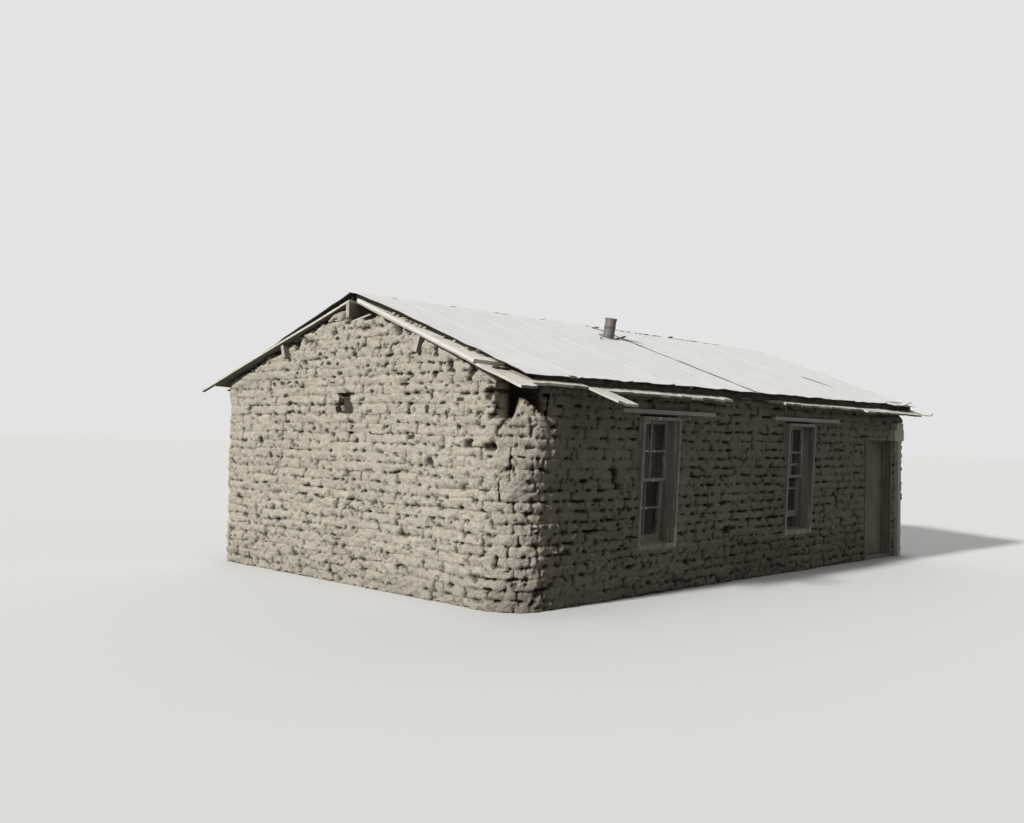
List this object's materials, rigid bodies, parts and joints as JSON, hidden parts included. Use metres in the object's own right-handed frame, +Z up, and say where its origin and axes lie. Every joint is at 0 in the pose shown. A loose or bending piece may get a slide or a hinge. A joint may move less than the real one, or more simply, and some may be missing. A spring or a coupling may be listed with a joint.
{
  "type": "sod house",
  "caption": "Turf house with thick walls of cut sods, a low pitched board and earth roof, sash windows, a stovepipe and a plank door that swings inwards.",
  "frame": {"origin": "centre of the walls' footprint, on the ground under the floor", "axes": "+X out of the long wall with the door, +Y from the front gable to the back gable, +Z up"},
  "size_m": [6.361, 8.77, 3.3101],
  "materials": {
    "sod": "rough cut sods with dry roots",
    "roof_earth": "dark crumbling earth",
    "timber": "rough sawn, weathered",
    "board": "rough sawn, weathered",
    "roofing": "pale bleached roofing felt",
    "window_paint": "worn pale paint",
    "window_glass": "old window glass",
    "door_wood": "weathered planks",
    "floor_wood": "worn floor planks",
    "pale_wood": "pale weathered wood",
    "iron": "dark rusted iron"
  },
  "bodies": {
    "root": {"back_gable_wall": "sod", "door_frame": "door_wood", "door_pintles": "iron", "door_post": "pale_wood", "floor": "floor_wood", "front_gable_wall": "sod", "front_rake_plank": "board", "left_back_window_frame": "window_paint", "left_back_window_glass": "window_glass", "left_back_window_lower_sash": "window_paint", "left_back_window_upper_sash": "window_paint", "left_earth_layer": "roof_earth", "left_front_window_frame": "window_paint", "left_front_window_glass": "window_glass", "left_front_window_lower_sash": "window_paint", "left_front_window_upper_sash": "window_paint", "left_lintel_planks": "board", "left_roof_boards": "board", "left_roofing": "roofing", "left_wall": "sod", "pipe_earth_layer": "roof_earth", "pipe_roof_boards": "board", "pipe_roofing": "roofing", "post_blocks": "pale_wood", "purlins": "timber", "ridge_beam": "timber", "right_back_window_frame": "window_paint", "right_back_window_glass": "window_glass", "right_back_window_lower_sash": "window_paint", "right_back_window_upper_sash": "window_paint", "right_earth_layer": "roof_earth", "right_front_window_frame": "window_paint", "right_front_window_glass": "window_glass", "right_front_window_lower_sash": "window_paint", "right_front_window_upper_sash": "window_paint", "right_lintel_planks": "board", "right_roof_boards": "board", "right_roofing": "roofing", "right_wall": "sod", "right_wall_over_door": "sod", "stovepipe": "iron", "wall_plates": "timber"},
    "door": {"door_leaf": "door_wood", "door_straps": "iron", "door_handle": "iron"}
  },
  "joints": [
    {"name": "door_hinge", "type": "hinge", "parent": "root", "child": "door", "pos_m": [2.412, 3.85, 0], "axis": [0, 0, -1], "range_deg": [0, 90]}
  ]
}
